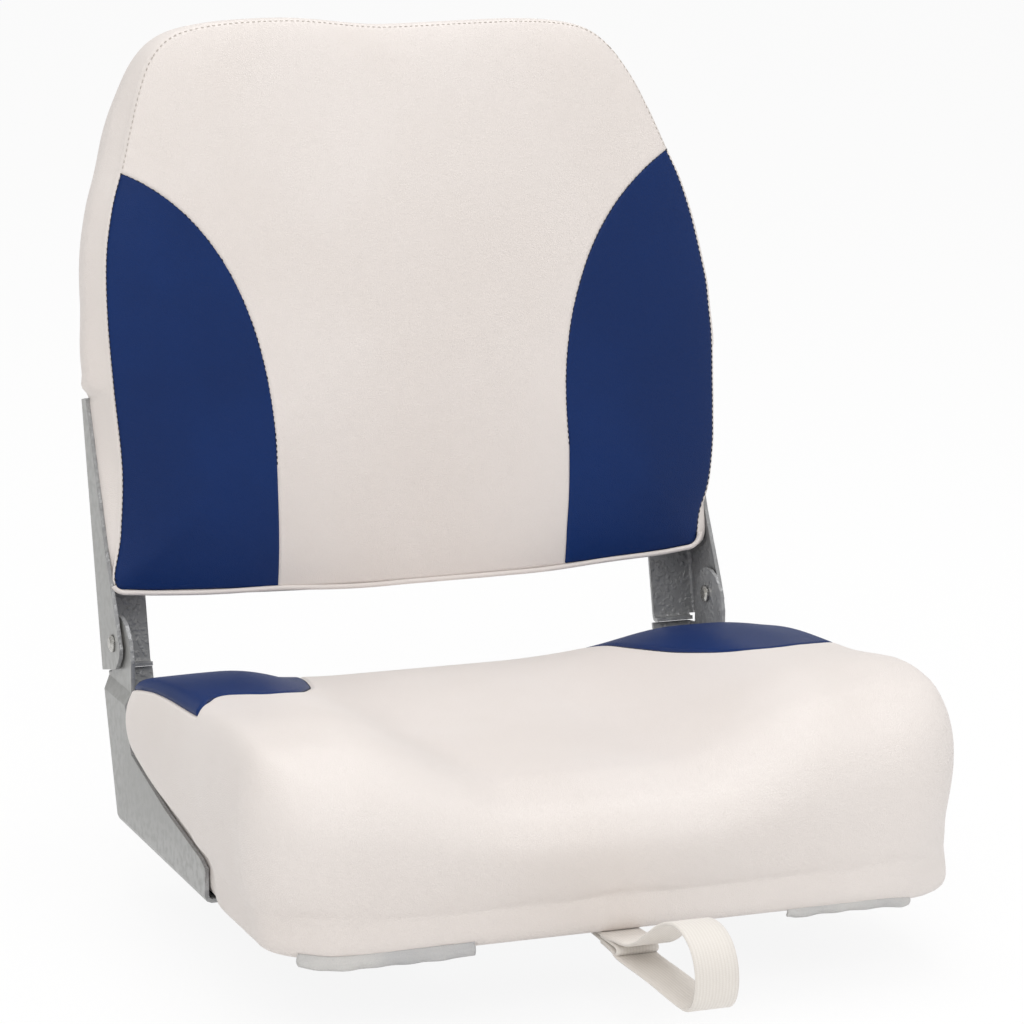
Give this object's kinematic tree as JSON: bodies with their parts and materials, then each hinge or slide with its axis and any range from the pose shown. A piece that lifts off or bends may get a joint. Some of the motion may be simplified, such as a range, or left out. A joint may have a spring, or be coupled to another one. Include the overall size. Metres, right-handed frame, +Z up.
{
  "type": "folding boat seat",
  "caption": "Padded low-back folding boat seat with hinge brackets, contrast side panels, a front webbing loop and a flat ball-race swivel",
  "frame": {"origin": "On the swivel axis, at the underside of the lower swivel plate", "axes": "+Z up along the swivel axis, -Y is the way the sitter faces, +X across the seat along the backrest's hinge axis"},
  "size_m": [0.425, 0.5833, 0.5068],
  "materials": {
    "white_vinyl": "satin marine vinyl, warm off-white",
    "blue_vinyl": "satin marine vinyl, deep blue",
    "grey_strip": "plain backing cloth",
    "foam": "open-cell cushion foam",
    "black_plastic": "moulded, fine grain",
    "grey_steel": "satin grey hammertone paint",
    "nickel": "bright nickel plate",
    "zinc": "zinc plate",
    "nylon": "natural nylon",
    "webbing": "woven webbing"
  },
  "bodies": {
    "swivel_base": {"swivel_lower_plate": "grey_steel", "swivel_hub_rivet": "zinc"},
    "ball_cage": {"swivel_ball_ring": "nickel"},
    "seat": {"swivel_upper_plate": "grey_steel", "swivel_bolt_1": "zinc", "swivel_bolt_2": "zinc", "swivel_bolt_3": "zinc", "swivel_bolt_4": "zinc", "seat_pan": "black_plastic", "seat_foam": "foam", "seat_cover": "white_vinyl", "seat_insert_left": "blue_vinyl", "seat_insert_right": "blue_vinyl", "left_seat_bracket": "grey_steel", "right_seat_bracket": "grey_steel", "left_pivot_rivet": "nickel", "right_pivot_rivet": "nickel", "left_pivot_washer": "nylon", "right_pivot_washer": "nylon", "left_foot_screw_1": "nickel", "left_foot_screw_2": "nickel", "left_foot_screw_3": "nickel", "right_foot_screw_1": "nickel", "right_foot_screw_2": "nickel", "right_foot_screw_3": "nickel", "strap_tail": "webbing", "strap_washer": "zinc", "strap_screw": "zinc"},
    "backrest": {"back_board": "black_plastic", "back_foam": "foam", "back_cover": "white_vinyl", "back_bottom_strip": "grey_strip", "back_insert_left": "blue_vinyl", "back_insert_right": "blue_vinyl", "back_piping": "white_vinyl", "left_back_bracket": "grey_steel", "right_back_bracket": "grey_steel", "left_back_screw_1": "nickel", "left_back_screw_2": "nickel", "left_back_screw_3": "nickel", "right_back_screw_1": "nickel", "right_back_screw_2": "nickel", "right_back_screw_3": "nickel"},
    "strap": {"strap_loop": "webbing"}
  },
  "joints": [
    {"name": "swivel", "type": "hinge", "parent": "swivel_base", "child": "seat", "pos_m": [0, 0, 0.01], "axis": [0, 0, 1], "continuous": true},
    {"name": "ball_cage_turn", "type": "hinge", "parent": "swivel_base", "child": "ball_cage", "pos_m": [0, 0, 0.01], "axis": [0, 0, 1], "continuous": true},
    {"name": "backrest_fold", "type": "hinge", "parent": "seat", "child": "backrest", "pos_m": [0, 0.158, 0.1333], "axis": [1, 0, 0], "range_deg": [0, 90]},
    {"name": "strap_flex", "type": "hinge", "parent": "seat", "child": "strap", "pos_m": [0.002, -0.178, 0.02035], "axis": [1, 0, 0], "range_deg": [-20, 20], "stiffness_Nm_per_rad": 0.5}
  ],
  "couplings": [
    {"joint": "ball_cage_turn", "follows": "swivel", "ratio": 0.5}
  ]
}
